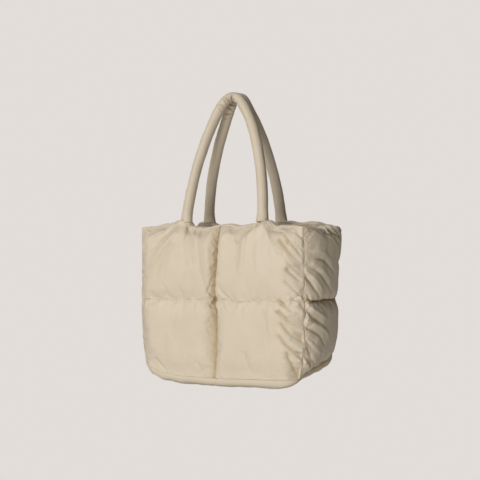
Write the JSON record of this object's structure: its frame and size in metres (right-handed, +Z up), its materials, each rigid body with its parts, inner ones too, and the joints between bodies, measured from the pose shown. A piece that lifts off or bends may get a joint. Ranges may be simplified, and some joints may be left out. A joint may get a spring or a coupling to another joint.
{
  "type": "puffer tote bag",
  "caption": "Padded quilted tote bag with an open top and soft tube handles, hanging by its handles.",
  "frame": {"origin": "the point under the crook of both handles that the bag hangs on", "axes": "+Z up from the bag towards the crook, +X to the right as seen from the front, the front faces -Y"},
  "size_m": [0.4281, 0.1814, 0.6048],
  "materials": {
    "puffer_cloth": "satin",
    "handle_cloth": "satin"
  },
  "bodies": {
    "root": {"front_panel": "puffer_cloth", "back_panel": "puffer_cloth", "right_gusset": "puffer_cloth", "left_gusset": "puffer_cloth", "base_panel": "puffer_cloth", "front_handle": "handle_cloth", "back_handle": "handle_cloth"}
  },
  "joints": []
}
